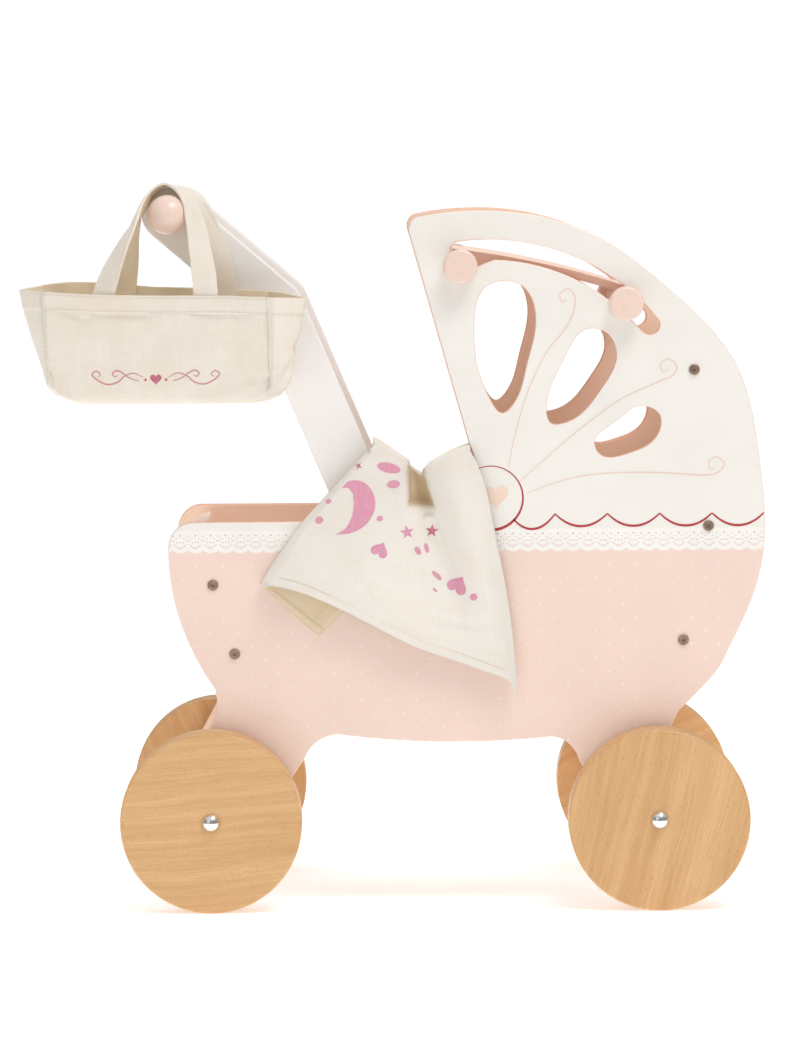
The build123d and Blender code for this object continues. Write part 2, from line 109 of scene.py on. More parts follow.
# ---------------------------------------------------------------- shader helper
class Shader:
    """One procedural material. Each method adds a node and returns its output."""

    def __init__(self, name):
        self.material = bpy.data.materials.new(name)
        self.material.use_nodes = True
        self.tree = self.material.node_tree
        self.surface = self.tree.nodes["Principled BSDF"]

    def node(self, kind, links=(), **settings):
        made = self.tree.nodes.new("ShaderNode" + kind)
        for key, value in settings.items():
            setattr(made, key, value)
        for socket, value in links:
            self.put(value, made.inputs[socket])
        return made

    def put(self, value, socket):
        if isinstance(value, bpy.types.NodeSocket):
            self.tree.links.new(value, socket)
        else:
            socket.default_value = value

    def set(self, **values):
        """Sockets of the shader itself, by name with _ for a space."""
        for key, value in values.items():
            self.put(value, self.surface.inputs[key.replace("_", " ")])

    def math(self, operation, *values):
        made = self.node("Math", operation=operation)
        for socket, value in zip(made.inputs, values):
            self.put(value, socket)
        return made.outputs[0]

    def step(self, value, low, high):
        """0 below low, 1 above high, and smooth in between."""
        made = self.node("MapRange", interpolation_type="SMOOTHSTEP")
        for socket, number in (("Value", value), ("From Min", low), ("From Max", high)):
            self.put(number, made.inputs[socket])
        return made.outputs["Result"]

    def ramp(self, value, low, high, out_low, out_high):
        made = self.node("MapRange")
        for socket, number in (("Value", value), ("From Min", low), ("From Max", high),
                               ("To Min", out_low), ("To Max", out_high)):
            self.put(number, made.inputs[socket])
        return made.outputs["Result"]

    def mix(self, share, first, second):
        made = self.node("MixRGB", [("Fac", share), ("Color1", first), ("Color2", second)])
        return made.outputs["Color"]

    def place(self):
        """Position on the object in millimetres, as x, y and z."""
        where = self.node("TexCoord").outputs["Object"]
        parts = self.node("SeparateXYZ", [(0, where)])
        return [self.math("MULTIPLY", parts.outputs[i], 1 / MM) for i in range(3)]

    def cloth(self):
        """Position on the flat cloth in millimetres, as x and y."""
        where = self.node("UVMap", uv_map="cloth").outputs["UV"]
        parts = self.node("SeparateXYZ", [(0, where)])
        return [self.math("MULTIPLY", parts.outputs[i], 1 / MM) for i in range(2)]

    def vector(self, x, y, z=0.0):
        return self.node("CombineXYZ", [(0, x), (1, y), (2, z)]).outputs[0]

    def noise(self, where, scale, detail=2.0, roughness=0.5):
        made = self.node("TexNoise", [("Vector", where), ("Scale", scale), ("Detail", detail),
                                      ("Roughness", roughness)])
        return made.outputs["Fac"]

    def bump(self, height, distance, strength=1.0, under=None):
        made = self.node("Bump", [("Height", height), ("Distance", distance),
                                  ("Strength", strength)])
        if under is not None:
            self.put(under, made.inputs["Normal"])
        return made.outputs["Normal"]


# ---------------------------------------------------------------- paint
WHITE = srgb(246, 242, 236)
PINK = srgb(247, 221, 208)
PINK_DEEP = srgb(246, 216, 198)            # the inner paint slot
CUT_EDGE_PAINTED_SHADE = srgb(234, 168, 132)               # cut edges of the side panels: their pink paint, deepened to orange as painted shade for the shade and bounce light in the cut-outs
PINK_INSIDE = srgb(252, 221, 200)          # inner faces of the side panels
LACE = srgb(251, 248, 243)
LACE_HOLE = srgb(214, 192, 182)
LACE_TIP_Z = 283.4
LACE_SAG = 2.4
LACE_PITCH = 12.0
LACE_START_X = -176.5
DOT_GRID = (21.9, 21.5)
DOT_AT = (-27.2, 208.8)
DOT_R = 0.75


def paint_finish(s, colour, x, y, z, roughness=0.38):
    """Sprayed paint on board: faint mottling, a fine orange-peel surface and a soft gloss."""
    where = s.vector(x, y, z)
    mottle = s.noise(where, 0.02, 3.0)
    tone = s.node("HueSaturation", [("Color", colour)])
    s.put(s.ramp(mottle, 0.3, 0.7, 0.975, 1.02), tone.inputs["Value"])
    s.set(Base_Color=tone.outputs["Color"],
          Roughness=s.ramp(s.noise(where, 0.12), 0.3, 0.7, roughness - 0.05, roughness + 0.06),
          Coat_Weight=0.12, Coat_Roughness=0.3)
    s.put(s.bump(s.noise(where, 0.9, 1.0), 0.00006, 0.35), s.surface.inputs["Normal"])


def plain_paint(name, colour, roughness=0.38):
    s = Shader(name)
    x, y, z = s.place()
    paint_finish(s, colour, x, y, z, roughness)
    return s.material


def spot(s, u, v, at, size):
    """1 inside a small ellipse at (u, v), with a soft edge."""
    du = s.math("DIVIDE", s.math("SUBTRACT", u, at[0]), size[0])
    dv = s.math("DIVIDE", s.math("SUBTRACT", v, at[1]), size[1])
    r2 = s.math("ADD", s.math("MULTIPLY", du, du), s.math("MULTIPLY", dv, dv))
    return s.step(r2, 1.5, 0.6)


def lattice_spot(s, x, z, shift):
    """Dots on a grid; shift moves the grid by that share of a step."""
    squares = []
    for place, start, step in ((x, DOT_AT[0], DOT_GRID[0]), (z, DOT_AT[1], DOT_GRID[1])):
        share = s.math("ADD", s.math("DIVIDE", s.math("SUBTRACT", place, start), step), shift)
        cell = s.math("MULTIPLY", s.math("SUBTRACT", s.math("FRACT", share), 0.5), step)
        squares.append(s.math("MULTIPLY", cell, cell))
    return s.step(s.math("ADD", *squares), (DOT_R * 1.25) ** 2, (DOT_R * 0.7) ** 2)


def lace_holes(s, x, z):
    """The lace's little holes: a row under the rim, one in the cloth and a fan in each scallop."""
    share = s.math("DIVIDE", s.math("SUBTRACT", x, LACE_START_X), LACE_PITCH)
    u = s.math("MULTIPLY", s.math("SUBTRACT", s.math("FRACT", share), 0.5), LACE_PITCH)
    u = s.math("ABSOLUTE", u)
    holes = [((0.0, 297.6), (0.95, 0.75)), ((6.0, 297.2), (0.7, 0.55)),
             ((0.0, 292.2), (0.5, 0.75)), ((2.3, 292.0), (0.55, 0.75)),
             ((5.0, 293.4), (0.6, 0.6)), ((0.0, 287.6), (0.42, 1.15)),
             ((1.7, 288.0), (0.42, 0.95)), ((3.3, 289.2), (0.5, 0.8)),
             ((4.6, 290.3), (0.4, 0.6)), ((3.0, 295.3), (1.0, 0.3))]
    total = None
    for at, size in holes:
        mark = spot(s, u, z, at, size)
        total = mark if total is None else s.math("MAXIMUM", total, mark)
    return total, u


def printed_panel():
    """Side panel: white hood and rim, a printed lace band, and dotted pink below. Its cut edges are a
    deeper pink, painted shade for the shade and bounce light in the cut-outs, with a paler line next to
    the outer face, and its inner face is plain."""
    s = Shader("panel_print")
    x, y, z = s.place()
    depth = -PANEL_Y
    outer = s.step(s.math("ABSOLUTE", y), depth - 0.22, depth - 0.12)
    holes, u = lace_holes(s, x, z)
    side = s.math("DIVIDE", u, LACE_PITCH / 2)
    arch = s.math("MULTIPLY", side, side)
    picot = s.math("MULTIPLY", s.math("COSINE", s.math("MULTIPLY", u, 2 * math.pi / 2.4)), -0.28)
    edge = s.math("ADD", s.math("MULTIPLY", arch, LACE_SAG), LACE_TIP_Z)
    edge = s.math("ADD", edge, picot)
    above = s.step(s.math("SUBTRACT", z, edge), -0.15, 0.15)
    dots = s.math("MAXIMUM", lattice_spot(s, x, z, 0.5), lattice_spot(s, x, z, 0.0))
    fade = s.noise(s.vector(x, z), 0.03, 2.0)
    dots = s.math("MULTIPLY", dots, s.ramp(fade, 0.35, 0.6, 0.35, 0.95))
    lower = s.mix(dots, PINK, srgb(255, 247, 240))
    band = s.step(z, 301.6, 301.0)
    lace = s.mix(s.math("MULTIPLY", holes, 0.8), LACE, LACE_HOLE)
    upper = s.mix(band, WHITE, lace)
    face = s.mix(above, lower, upper)
    rim = s.step(s.math("ABSOLUTE", y), depth - 2.0, depth - 1.4)
    # The cut edges take painted shade: their pink is deepened to orange for the shade in the cut-outs.
    cut = s.step(s.math("ABSOLUTE", y), depth - PANEL_T + 0.1, depth - PANEL_T + 0.3)
    colour = s.mix(outer, s.mix(rim, s.mix(cut, PINK_INSIDE, CUT_EDGE_PAINTED_SHADE), PINK), face)
    paint_finish(s, colour, x, y, z)
    return s.material


# ---------------------------------------------------------------- wood and metal
BEECH = srgb(228, 184, 130)
BEECH_DARK = srgb(206, 156, 100)
BEECH_FLECK = srgb(172, 118, 70)
BEECH_PALE = srgb(238, 202, 154)


def beech(name, angle, seed, light=BEECH, dark=BEECH_DARK, varnish=0.25):
    """Flat-sawn beech. The grain runs at angle, in degrees from level, across the face."""
    s = Shader(name)
    x, y, z = s.place()
    c, n = math.cos(math.radians(angle)), math.sin(math.radians(angle))
    along = s.math("ADD", s.math("MULTIPLY", x, c), s.math("MULTIPLY", z, n))
    across = s.math("SUBTRACT", s.math("MULTIPLY", z, c), s.math("MULTIPLY", x, n))
    across = s.math("ADD", across, s.math("MULTIPLY", y, 0.35))
    warp = s.noise(s.vector(s.math("MULTIPLY", along, 0.006), s.math("MULTIPLY", across, 0.02), seed),
                   1.0, 2.0)
    bent = s.math("ADD", across, s.math("MULTIPLY", warp, 22.0))
    band = s.noise(s.vector(s.math("MULTIPLY", along, 0.004), s.math("MULTIPLY", bent, 0.11), seed),
                   1.0, 3.0, 0.6)
    line = s.noise(s.vector(s.math("MULTIPLY", along, 0.03), s.math("MULTIPLY", bent, 1.1), seed + 3),
                   1.0, 3.0, 0.6)
    fleck = s.noise(s.vector(s.math("MULTIPLY", along, 0.33), s.math("MULTIPLY", bent, 2.4),
                             s.math("ADD", s.math("MULTIPLY", y, 0.3), seed)), 1.0, 1.0)
    colour = s.mix(s.ramp(band, 0.35, 0.65, 0.0, 0.75), light, dark)
    colour = s.mix(s.ramp(line, 0.45, 0.75, 0.0, 0.35), colour, dark)
    colour = s.mix(s.ramp(line, 0.5, 0.25, 0.0, 0.35), colour, BEECH_PALE)
    colour = s.mix(s.math("MULTIPLY", s.step(fleck, 0.62, 0.72), 0.55), colour, BEECH_FLECK)
    s.set(Base_Color=colour, Roughness=s.ramp(line, 0.3, 0.7, 0.42, 0.56),
          Coat_Weight=varnish, Coat_Roughness=0.28)
    relief = s.math("ADD", s.math("MULTIPLY", line, 0.6), s.math("MULTIPLY", fleck, -0.5))
    s.put(s.bump(relief, 0.00008, 0.5), s.surface.inputs["Normal"])
    return s.material


def metal(name, colour, roughness, scratch=0.06, dark=0.85):
    """Turned or pressed metal with fine handling marks."""
    s = Shader(name)
    x, y, z = s.place()
    marks = s.noise(s.vector(s.math("MULTIPLY", x, 0.6), y, s.math("MULTIPLY", z, 3.0)), 1.0, 4.0)
    cloud = s.noise(s.vector(x, y, z), 0.25, 3.0)
    worn = tuple(c * dark for c in colour[:3]) + (1.0,)
    s.set(Base_Color=s.mix(s.ramp(cloud, 0.35, 0.7, 0.0, 1.0), colour, worn), Metallic=1.0,
          Roughness=s.ramp(marks, 0.3, 0.7, roughness, roughness + scratch))
    s.put(s.bump(marks, 0.00002, 0.3), s.surface.inputs["Normal"])
    return s.material


# ---------------------------------------------------------------- cloth
CANVAS = srgb(248, 242, 233)
CANVAS_TAN = srgb(240, 223, 198)
CANVAS_PAINTED_SHADE = srgb(250, 234, 206)         # painted shade: a darker tan standing in for the shade inside the bag and on the straps' inner side
COTTON = srgb(252, 247, 240)
COTTON_TAN = srgb(246, 235, 219)
COTTON_PAINTED_SHADE = srgb(242, 220, 182)         # painted shade: a darker tan on the blanket's rear layer and in its fold pocket, standing in for their shade
SEED = srgb(196, 160, 116)


def woven(name, light, tan, pitch, slub, ink=None, fuzz=0.25):
    """Plain-weave cotton: crossing threads, uneven slubs, a few seed flecks and a soft sheen.
    ink is a printed colour that sinks into the weave."""
    s = Shader(name)
    u, v = s.cloth()
    warp = s.math("SINE", s.math("MULTIPLY", u, 2 * math.pi / pitch))
    weft = s.math("SINE", s.math("MULTIPLY", v, 2 * math.pi / pitch))
    weave = s.math("MULTIPLY", warp, weft)
    rows = s.noise(s.vector(s.math("MULTIPLY", u, 0.035), s.math("MULTIPLY", v, 1.1), 2.0), 1.0, 3.0)
    columns = s.noise(s.vector(s.math("MULTIPLY", u, 1.1), s.math("MULTIPLY", v, 0.035), 7.0),
                      1.0, 3.0)
    cloud = s.noise(s.vector(u, v, 4.0), 0.03, 4.0, 0.6)
    threads = s.math("MULTIPLY", s.math("ADD", rows, columns), 0.5)
    colour = s.mix(s.ramp(threads, 0.42, 0.62, 0.0, slub), light, tan)
    colour = s.mix(s.ramp(cloud, 0.42, 0.7, 0.0, 0.4), colour, tan)
    colour = s.mix(s.ramp(weave, -1.0, 1.0, 0.12, 0.0), colour, tan)
    seed = s.noise(s.vector(s.math("MULTIPLY", u, 0.42), s.math("MULTIPLY", v, 0.75), 11.0), 1.0, 1.0)
    colour = s.mix(s.math("MULTIPLY", s.step(seed, 0.76, 0.80), 0.55), colour, SEED)
    if ink is not None:
        cover = s.ramp(threads, 0.4, 0.65, 1.0, 0.78)
        colour = s.mix(cover, colour, ink)
    s.set(Base_Color=colour, Roughness=0.88, Sheen_Weight=fuzz, Sheen_Roughness=0.6,
          Specular_IOR_Level=0.25)
    fine = s.bump(weave, 0.00016, 0.55)
    s.put(s.bump(threads, 0.0006, 0.45, fine), s.surface.inputs["Normal"])
    return s.material


# ---------------------------------------------------------------- materials of the CAD parts
WHEEL_GRAIN = {"wheel_rear_right": (4.0, 1.3), "wheel_rear_left": (-72.0, 5.1),
               "wheel_front_right": (76.0, 9.7), "wheel_front_left": (24.0, 14.2)}
SLOT_MATERIALS = {
    "panel_paint": printed_panel(),
    "inner_paint": plain_paint("inner_pink_paint", PINK_DEEP, 0.44),
    "white_paint": plain_paint("arm_white_paint", srgb(247, 243, 240), 0.36),
    "knob_paint": plain_paint("knob_pink_paint", srgb(246, 219, 206), 0.3),
    "plain_wood": beech("plain_wood_grain", 2.0, 21.0, srgb(228, 196, 150), srgb(214, 176, 126), 0.0),
    "steel": metal("zinc_steel", srgb(196, 198, 200), 0.3),
    "bronze_screw": metal("bronze_screw_metal", srgb(172, 150, 130), 0.36, 0.1, 0.7),
    "chrome": metal("chrome_cap", srgb(232, 233, 235), 0.07, 0.05, 0.97),
    "beech": beech("beech_wood", 10.0, 2.0),
}


def dress_cad_parts():
    for name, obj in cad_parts.items():
        for slot in obj.material_slots:
            kind = slot.material.name.split(".")[0]
            if name in WHEEL_GRAIN:
                slot.material = beech(f"{name}_beech", *WHEEL_GRAIN[name])
            elif kind in SLOT_MATERIALS:
                slot.material = SLOT_MATERIALS[kind]


# ---------------------------------------------------------------- mesh helpers
def new_object(name, points, faces, material, uvs=None):
    """A mesh object from points in millimetres; uvs, one per point, are in millimetres too."""
    mesh = bpy.data.meshes.new(name)
    mesh.from_pydata([Vector(p) * MM for p in points], [], faces)
    mesh.validate()
    if uvs is not None:
        layer = mesh.uv_layers.new(name="cloth")
        for loop in mesh.loops:
            u, v = uvs[loop.vertex_index]
            layer.data[loop.index].uv = (u * MM, v * MM)
    for polygon in mesh.polygons:
        polygon.use_smooth = True
    mesh.materials.append(material)
    obj = bpy.data.objects.new(name, mesh)
    bpy.context.scene.collection.objects.link(obj)
    return obj


def grid_faces(rows, columns, closed=False):
    faces = []
    for r in range(rows - 1):
        for c in range(columns if closed else columns - 1):
            a = r * columns + c
            b = r * columns + (c + 1) % columns
            faces.append((a, b, b + columns, a + columns))
    return faces


def apply_modifiers(obj):
    graph = bpy.context.evaluated_depsgraph_get()
    made = bpy.data.meshes.new_from_object(obj.evaluated_get(graph))
    obj.modifiers.clear()
    obj.data = made
    return obj


def thicken(obj, thickness, offset=-1.0, inside=None):
    """Gives a sheet its thickness; inside is a material for its other side."""
    made = obj.modifiers.new("thickness", "SOLIDIFY")
    if inside is not None:
        obj.data.materials.append(inside)
        made.material_offset = 1
    made.thickness = thickness * MM
    made.offset = offset
    made.use_even_offset = False
    return apply_modifiers(obj)


def surface_finder(obj):
    """Returns a function: the y of the first surface of obj seen from in front at (x, z)."""
    tree = BVHTree.FromObject(obj, bpy.context.evaluated_depsgraph_get())
    def find(x, z):
        hit = tree.ray_cast(mm(x, -400.0, z), Vector((0, 1, 0)))
        return None if hit[0] is None else hit[0].y / MM
    return find


class Print:
    """Collects thin printed shapes and lays them on a surface, a hair in front of it."""

    def __init__(self, depth, lift=0.16):
        self.depth = depth
        self.lift = lift
        self.points, self.faces, self.uvs = [], [], []

    def add(self, x, z):
        y = self.depth(x, z) if callable(self.depth) else self.depth
        if y is None:
            return None
        self.points.append((x, y - self.lift, z))
        self.uvs.append((x, z))
        return len(self.points) - 1

    def face(self, *corners):
        """A face, unless one of its corners has no surface behind it."""
        if None not in corners:
            self.faces.append(corners)

    def strip(self, line, width):
        """A brush stroke along the line; width is a number or a function of 0 to 1."""
        pts = [Vector((p[0], p[1])) for p in line]
        rows = []
        for k, p in enumerate(pts):
            ahead = (pts[min(k + 1, len(pts) - 1)] - pts[max(k - 1, 0)]).normalized()
            side = Vector((-ahead.y, ahead.x))
            w = width(k / (len(pts) - 1)) if callable(width) else width
            rows.append([self.add(*(p + side * w * s)) for s in (-0.5, 0.0, 0.5)])
        for a, b in zip(rows, rows[1:]):
            for s in (0, 1):
                self.face(a[s], b[s], b[s + 1], a[s + 1])

    def blob(self, outline, centre):
        """A filled shape that can be seen whole from its centre."""
        rings = [[self.add(centre[0] + (x - centre[0]) * f, centre[1] + (z - centre[1]) * f)
                  for x, z in outline] for f in (1.0, 0.75, 0.5, 0.25)]
        middle = self.add(*centre)
        n = len(outline)
        for outer, inner in zip(rings, rings[1:]):
            for k in range(n):
                j = (k + 1) % n
                self.face(outer[k], outer[j], inner[j], inner[k])
        for k in range(n):
            self.face(rings[-1][k], rings[-1][(k + 1) % n], middle)

    def build(self, name, material, mirrored_too=False):
        points = list(self.points)
        faces = [tuple(reversed(f)) for f in self.faces]
        uvs = list(self.uvs)
        if mirrored_too:
            n = len(points)
            points += [(x, -y, z) for x, y, z in self.points]
            faces += [tuple(i + n for i in f) for f in self.faces]
            uvs += self.uvs
        obj = new_object(name, points, faces, material, uvs)
        mesh = bmesh.new()
        mesh.from_mesh(obj.data)
        for f in mesh.faces:
            f.normal_update()
            if f.normal.y * f.calc_center_median().y < 0:
                f.normal_flip()
        mesh.to_mesh(obj.data)
        mesh.free()
        return obj


def turned(points, centre, size, degrees):
    """Unit-size points scaled, turned and moved to a centre."""
    c, s = math.cos(math.radians(degrees)), math.sin(math.radians(degrees))
    return [(centre[0] + size * (x * c - z * s), centre[1] + size * (x * s + z * c))
            for x, z in points]


def ellipse(ratio=1.0, count=20):
    return [(math.cos(2 * math.pi * k / count), ratio * math.sin(2 * math.pi * k / count))
            for k in range(count)]


def star():
    return [((1.0 if k % 2 == 0 else 0.42) * math.sin(math.pi * k / 5),
             (1.0 if k % 2 == 0 else 0.42) * math.cos(math.pi * k / 5)) for k in range(10)]


def heart(count=36):
    shape = []
    for k in range(count):
        t = 2 * math.pi * k / count
        shape.append((math.sin(t) ** 3,
                      (13 * math.cos(t) - 5 * math.cos(2 * t) - 2 * math.cos(3 * t)
                       - math.cos(4 * t)) / 16))
    return shape


# ---------------------------------------------------------------- prints on the side panels
SWIRLS = [
    [(90.5, 350.6), (94.9, 372.8), (105.4, 408.5), (120.6, 440.9), (135.7, 459.8), (142.6, 474.0),
     (143.6, 485.5), (138.4, 491.4), (131.8, 487.6), (133.4, 481.2), (137.2, 483.4)],
    [(100.0, 339.4), (120.2, 357.6), (150.2, 382.8), (179.9, 404.0), (209.7, 417.7), (221.2, 422.8),
     (224.0, 430.3), (217.6, 435.6), (211.4, 431.8), (213.2, 425.6), (217.2, 427.8)],
    [(105.0, 329.8), (137.2, 340.8), (169.4, 345.3), (211.5, 345.4), (243.6, 343.2), (256.8, 345.4),
     (261.6, 352.4), (255.6, 357.7), (249.4, 354.0), (251.0, 347.8), (255.2, 350.0)],
]
RED_RING_R = 25.4
SCALLOP_CUSP_Z = 313.1
SCALLOP_LOW_Z = 303.2
SCALLOP_X = (127.2, 41.57)                 # first cusp and pitch


def arc(centre, radius, start, end, count=40):
    """Points on a circle, angles in degrees from +X towards +Z."""
    return [(centre[0] + radius * math.cos(math.radians(start + (end - start) * k / (count - 1))),
             centre[1] + radius * math.sin(math.radians(start + (end - start) * k / (count - 1))))
            for k in range(count)]


def scallop(x_from, x_to, z_from=SCALLOP_CUSP_Z, z_to=SCALLOP_CUSP_Z):
    """One hanging arc between two cusps."""
    line = []
    for k in range(25):
        t = k / 24
        hang = 1 - abs(2 * t - 1) ** 2.1
        z = z_from + (z_to - z_from) * t
        line.append((x_from + (x_to - x_from) * t, z - (SCALLOP_CUSP_Z - SCALLOP_LOW_Z) * hang))
    return line


def swell(middle, ends):
    """Stroke width: ends at both ends and middle half way."""
    return lambda t: ends + (middle - ends) * math.sin(math.pi * t) ** 0.7


def panel_prints():
    swirls = Print(PANEL_Y, 0.1)
    for line in SWIRLS:
        swirls.strip(spline([(x, z, 0) for x, z in line], 90), swell(1.25, 0.6))
    hearts = Print(PANEL_Y, 0.1)
    hearts.blob(turned(heart(), (79.8, 327.6), 10.6, 4), (79.8, 327.0))
    red = Print(PANEL_Y, 0.12)
    red.strip(arc(BOSS, RED_RING_R, 112, -83, 80), lambda t: 0.7 + 1.7 * t ** 1.6)
    step = SCALLOP_X[1]
    first = (BOSS[0] + RED_RING_R * math.cos(math.radians(-46)),
             BOSS[1] + RED_RING_R * math.sin(math.radians(-46)))
    red.strip(scallop(first[0], SCALLOP_X[0], first[1] + 1.5), swell(1.9, 1.1))
    for k in range(4):
        x = SCALLOP_X[0] + step * k
        red.strip(scallop(x, min(x + step, 293.2)), swell(1.9, 1.1))
    pieces = [
        swirls.build("printed_swirls", plain_paint("swirl_ink", srgb(240, 216, 204), 0.5), True),
        hearts.build("printed_heart", plain_paint("peach_ink", srgb(248, 222, 202), 0.5), True),
        red.build("printed_red_scallops", plain_paint("red_ink", srgb(184, 52, 62), 0.45), True)]
    for piece in pieces:
        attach(piece, "root")


# ---------------------------------------------------------------- bag
BAG_LEVELS = [  # height above the floor, left tip, left seam, right seam, right tip, half depth
    (0.0, -248.0, -240.0, -118.0, -108.0, 12.0), (2.2, -257.0, -250.0, -108.0, -98.0, 15.4),
    (6.5, -267.0, -262.0, -100.0, -89.0, 18.2), (14.0, -274.0, -269.0, -97.0, -83.0, 20.6),
    (30.0, -279.5, -272.5, -96.5, -78.0, 22.8), (55.0, -287.0, -274.5, -97.0, -73.0, 23.8),
    (90.0, -294.0, -275.5, -98.0, -68.4, 24.0)]
BAG_FRONT = [(0.0, -0.97), (0.03, -1.0), (0.25, -1.01), (0.5, -1.02), (0.75, -1.01), (0.97, -1.0),
             (1.0, -0.97)]                  # share of the way between the seams, share of the depth
BAG_GUSSET = [(0.0, -0.97), (0.55, -0.52), (0.86, -0.24), (1.0, 0.0)]
FRONT_RIM = [(-294.0, 494.0), (-275.0, 493.0), (-236.0, 490.5), (-190.0, 489.5), (-129.0, 489.0),
             (-98.0, 487.5), (-68.0, 486.0)]
BACK_RIM = [(-294.0, 494.0), (-272.0, 498.0), (-257.0, 499.5), (-231.0, 499.0), (-190.0, 495.0),
            (-129.0, 493.5), (-89.0, 490.5), (-68.0, 486.0)]
BAG_CREASES = [  # x and z of both ends, depth, width
    ((-118, 404), (-92, 428), -3.6, 3.4), ((-106, 404), (-80, 440), 3.0, 3.6),
    ((-90, 418), (-72, 452), -3.2, 3.8), ((-150, 412), (-104, 424), -1.6, 3.2),
    ((-134, 430), (-108, 414), 1.4, 2.8), ((-276, 436), (-252, 408), -2.0, 3.4),
    ((-258, 474), (-240, 468), -2.0, 4.0), ((-236, 474), (-196, 471), -2.4, 3.4),
    ((-160, 474), (-126, 471), -2.4, 3.4), ((-126, 476), (-104, 462), -1.3, 3.6),
    ((-262, 462), (-266, 430), 0.9, 6.0), ((-212, 462), (-206, 436), 0.8, 7.0)]
HEM = 14.0
FRONT_COUNT = 72
GUSSET_COUNT = 14


def segment_distance(x, z, a, b):
    dx, dz = b[0] - a[0], b[1] - a[1]
    t = max(0.0, min(1.0, ((x - a[0]) * dx + (z - a[1]) * dz) / (dx * dx + dz * dz)))
    return math.hypot(x - a[0] - t * dx, z - a[1] - t * dz)


def bag_relief(x, z, y):
    """How far the canvas stands out of its plain shape: soft waves, folds and the hem."""
    value = 2.2 * noise.noise(Vector((x * 0.024, z * 0.020, y * 0.02 + 3.1)))
    value += 1.1 * noise.noise(Vector((x * 0.055, z * 0.06, y * 0.05 + 8.2)))
    value += 0.5 * noise.noise(Vector((x * 0.09, z * 0.02, 1.7))) * smooth(470.0, 478.0, z)
    for a, b, depth, width in BAG_CREASES:
        value += depth * bump(segment_distance(x, z, a, b), 0.0, width)
    return value


def bag_ring(h):
    """One level of the bag as (x, y, share of the depth) points."""
    left, seam_left, seam_right, right, half = (
        between([(level[0], level[i]) for level in BAG_LEVELS], h) for i in range(1, 6))
    front = [(seam_left + (seam_right - seam_left) * p.x, p.y)
             for p in spline([(u, w, 0) for u, w in BAG_FRONT], FRONT_COUNT)]
    gusset = spline([(u, w, 0) for u, w in BAG_GUSSET], GUSSET_COUNT)[1:]
    lead = [(seam_left + (left - seam_left) * p.x, p.y) for p in reversed(gusset)]
    tail = [(seam_right + (right - seam_right) * p.x, p.y) for p in gusset]
    near = lead + front + tail
    return [(x, BAG_Y + w * half, w) for x, w in near + [(x, -w) for x, w in near[-2:0:-1]]]


def bag_body():
    heights = [0.0, 1.0, 2.2, 4.0, 6.5, 10.0, 14.0, 19.0, 24.0, 29.0, 34.0, 39.0, 44.0, 49.0, 54.0,
               59.0, 64.0, 68.0, 71.0, 71.7, 72.3, 74.0, 77.0, 80.0, 83.0, 85.0, 86.0]
    points, uvs = [], []
    for shrink in (0.0, 0.35, 0.7):
        for x, y, w in bag_ring(0.0):
            points.append((x, BAG_Y + (y - BAG_Y) * shrink, BAG_FLOOR_Z + 0.4))
            uvs.append((x, y))
    for h in heights:
        ring = bag_ring(h)
        seams = (ring[GUSSET_COUNT - 1][0], ring[GUSSET_COUNT + FRONT_COUNT - 2][0])
        for x, y, w in ring:
            rim = between(FRONT_RIM if w <= 0 else BACK_RIM, x)
            z = BAG_FLOOR_Z + h * (rim - BAG_FLOOR_Z) / heights[-1]
            out = bag_relief(x, z, y) * smooth(0.0, 20.0, h) - 1.2 * abs(w)
            out += 0.7 * smooth(71.9, 72.2, h)
            seam = min(abs(x - seams[0]), abs(x - seams[1]))
            out += 0.7 * bump(seam, 0.0, 1.3) * smooth(4.0, 14.0, h) * (w < -0.9)
            end = -1 if x < seams[0] else (1 if x > seams[1] else 0)
            normal = Vector((0.5 * end, w + (0.2 if w > 0 else -0.2), 0)).normalized()
            points.append((x + normal.x * out, y + normal.y * out, z))
            uvs.append((x + end * abs(w) * 12.0, z))
    count = len(ring)
    obj = new_object("canvas_bag", points, grid_faces(len(heights) + 3, count, closed=True),
                     woven("bag_canvas", CANVAS, CANVAS_TAN, 0.9, 0.4), uvs)
    mesh = bmesh.new()
    mesh.from_mesh(obj.data)
    bmesh.ops.remove_doubles(mesh, verts=mesh.verts, dist=0.05 * MM)
    bmesh.ops.recalc_face_normals(mesh, faces=mesh.faces)
    mesh.to_mesh(obj.data)
    mesh.free()
    # The inner wall is drawn in painted shade, a darker tan standing in for the shade inside the bag.
    thicken(obj, 1.3, inside=woven("bag_canvas_inside_painted_shade", CANVAS_PAINTED_SHADE, CANVAS_TAN, 0.9, 0.4))
    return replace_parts(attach(obj, "bag"), "bag_body")


def bag_stitches(find):
    """Thread along the hem, at the rim and down the two front seams."""
    thread = woven("bag_thread", srgb(236, 214, 196), CANVAS_TAN, 0.5, 0.4)
    lines = Print(find, 0.22)
    def stitch(x, z, dx, dz):
        lines.strip([(x + dx * t, z + dz * t) for t in (-0.5, 0.0, 0.5)], 0.55)
    for k in range(50):
        x = -274.0 + 3.55 * k
        rim = between(FRONT_RIM, x)
        stitch(x, rim - HEM + 1.2, 2.5, 0.0)
        stitch(x, rim - 1.8, 2.5, 0.0)
    for x in (-272.6, -98.4):
        for k in range(18):
            stitch(x, 418.0 + 3.55 * k, 0.0, 2.5)
    return lines.build("bag_stitching", thread)


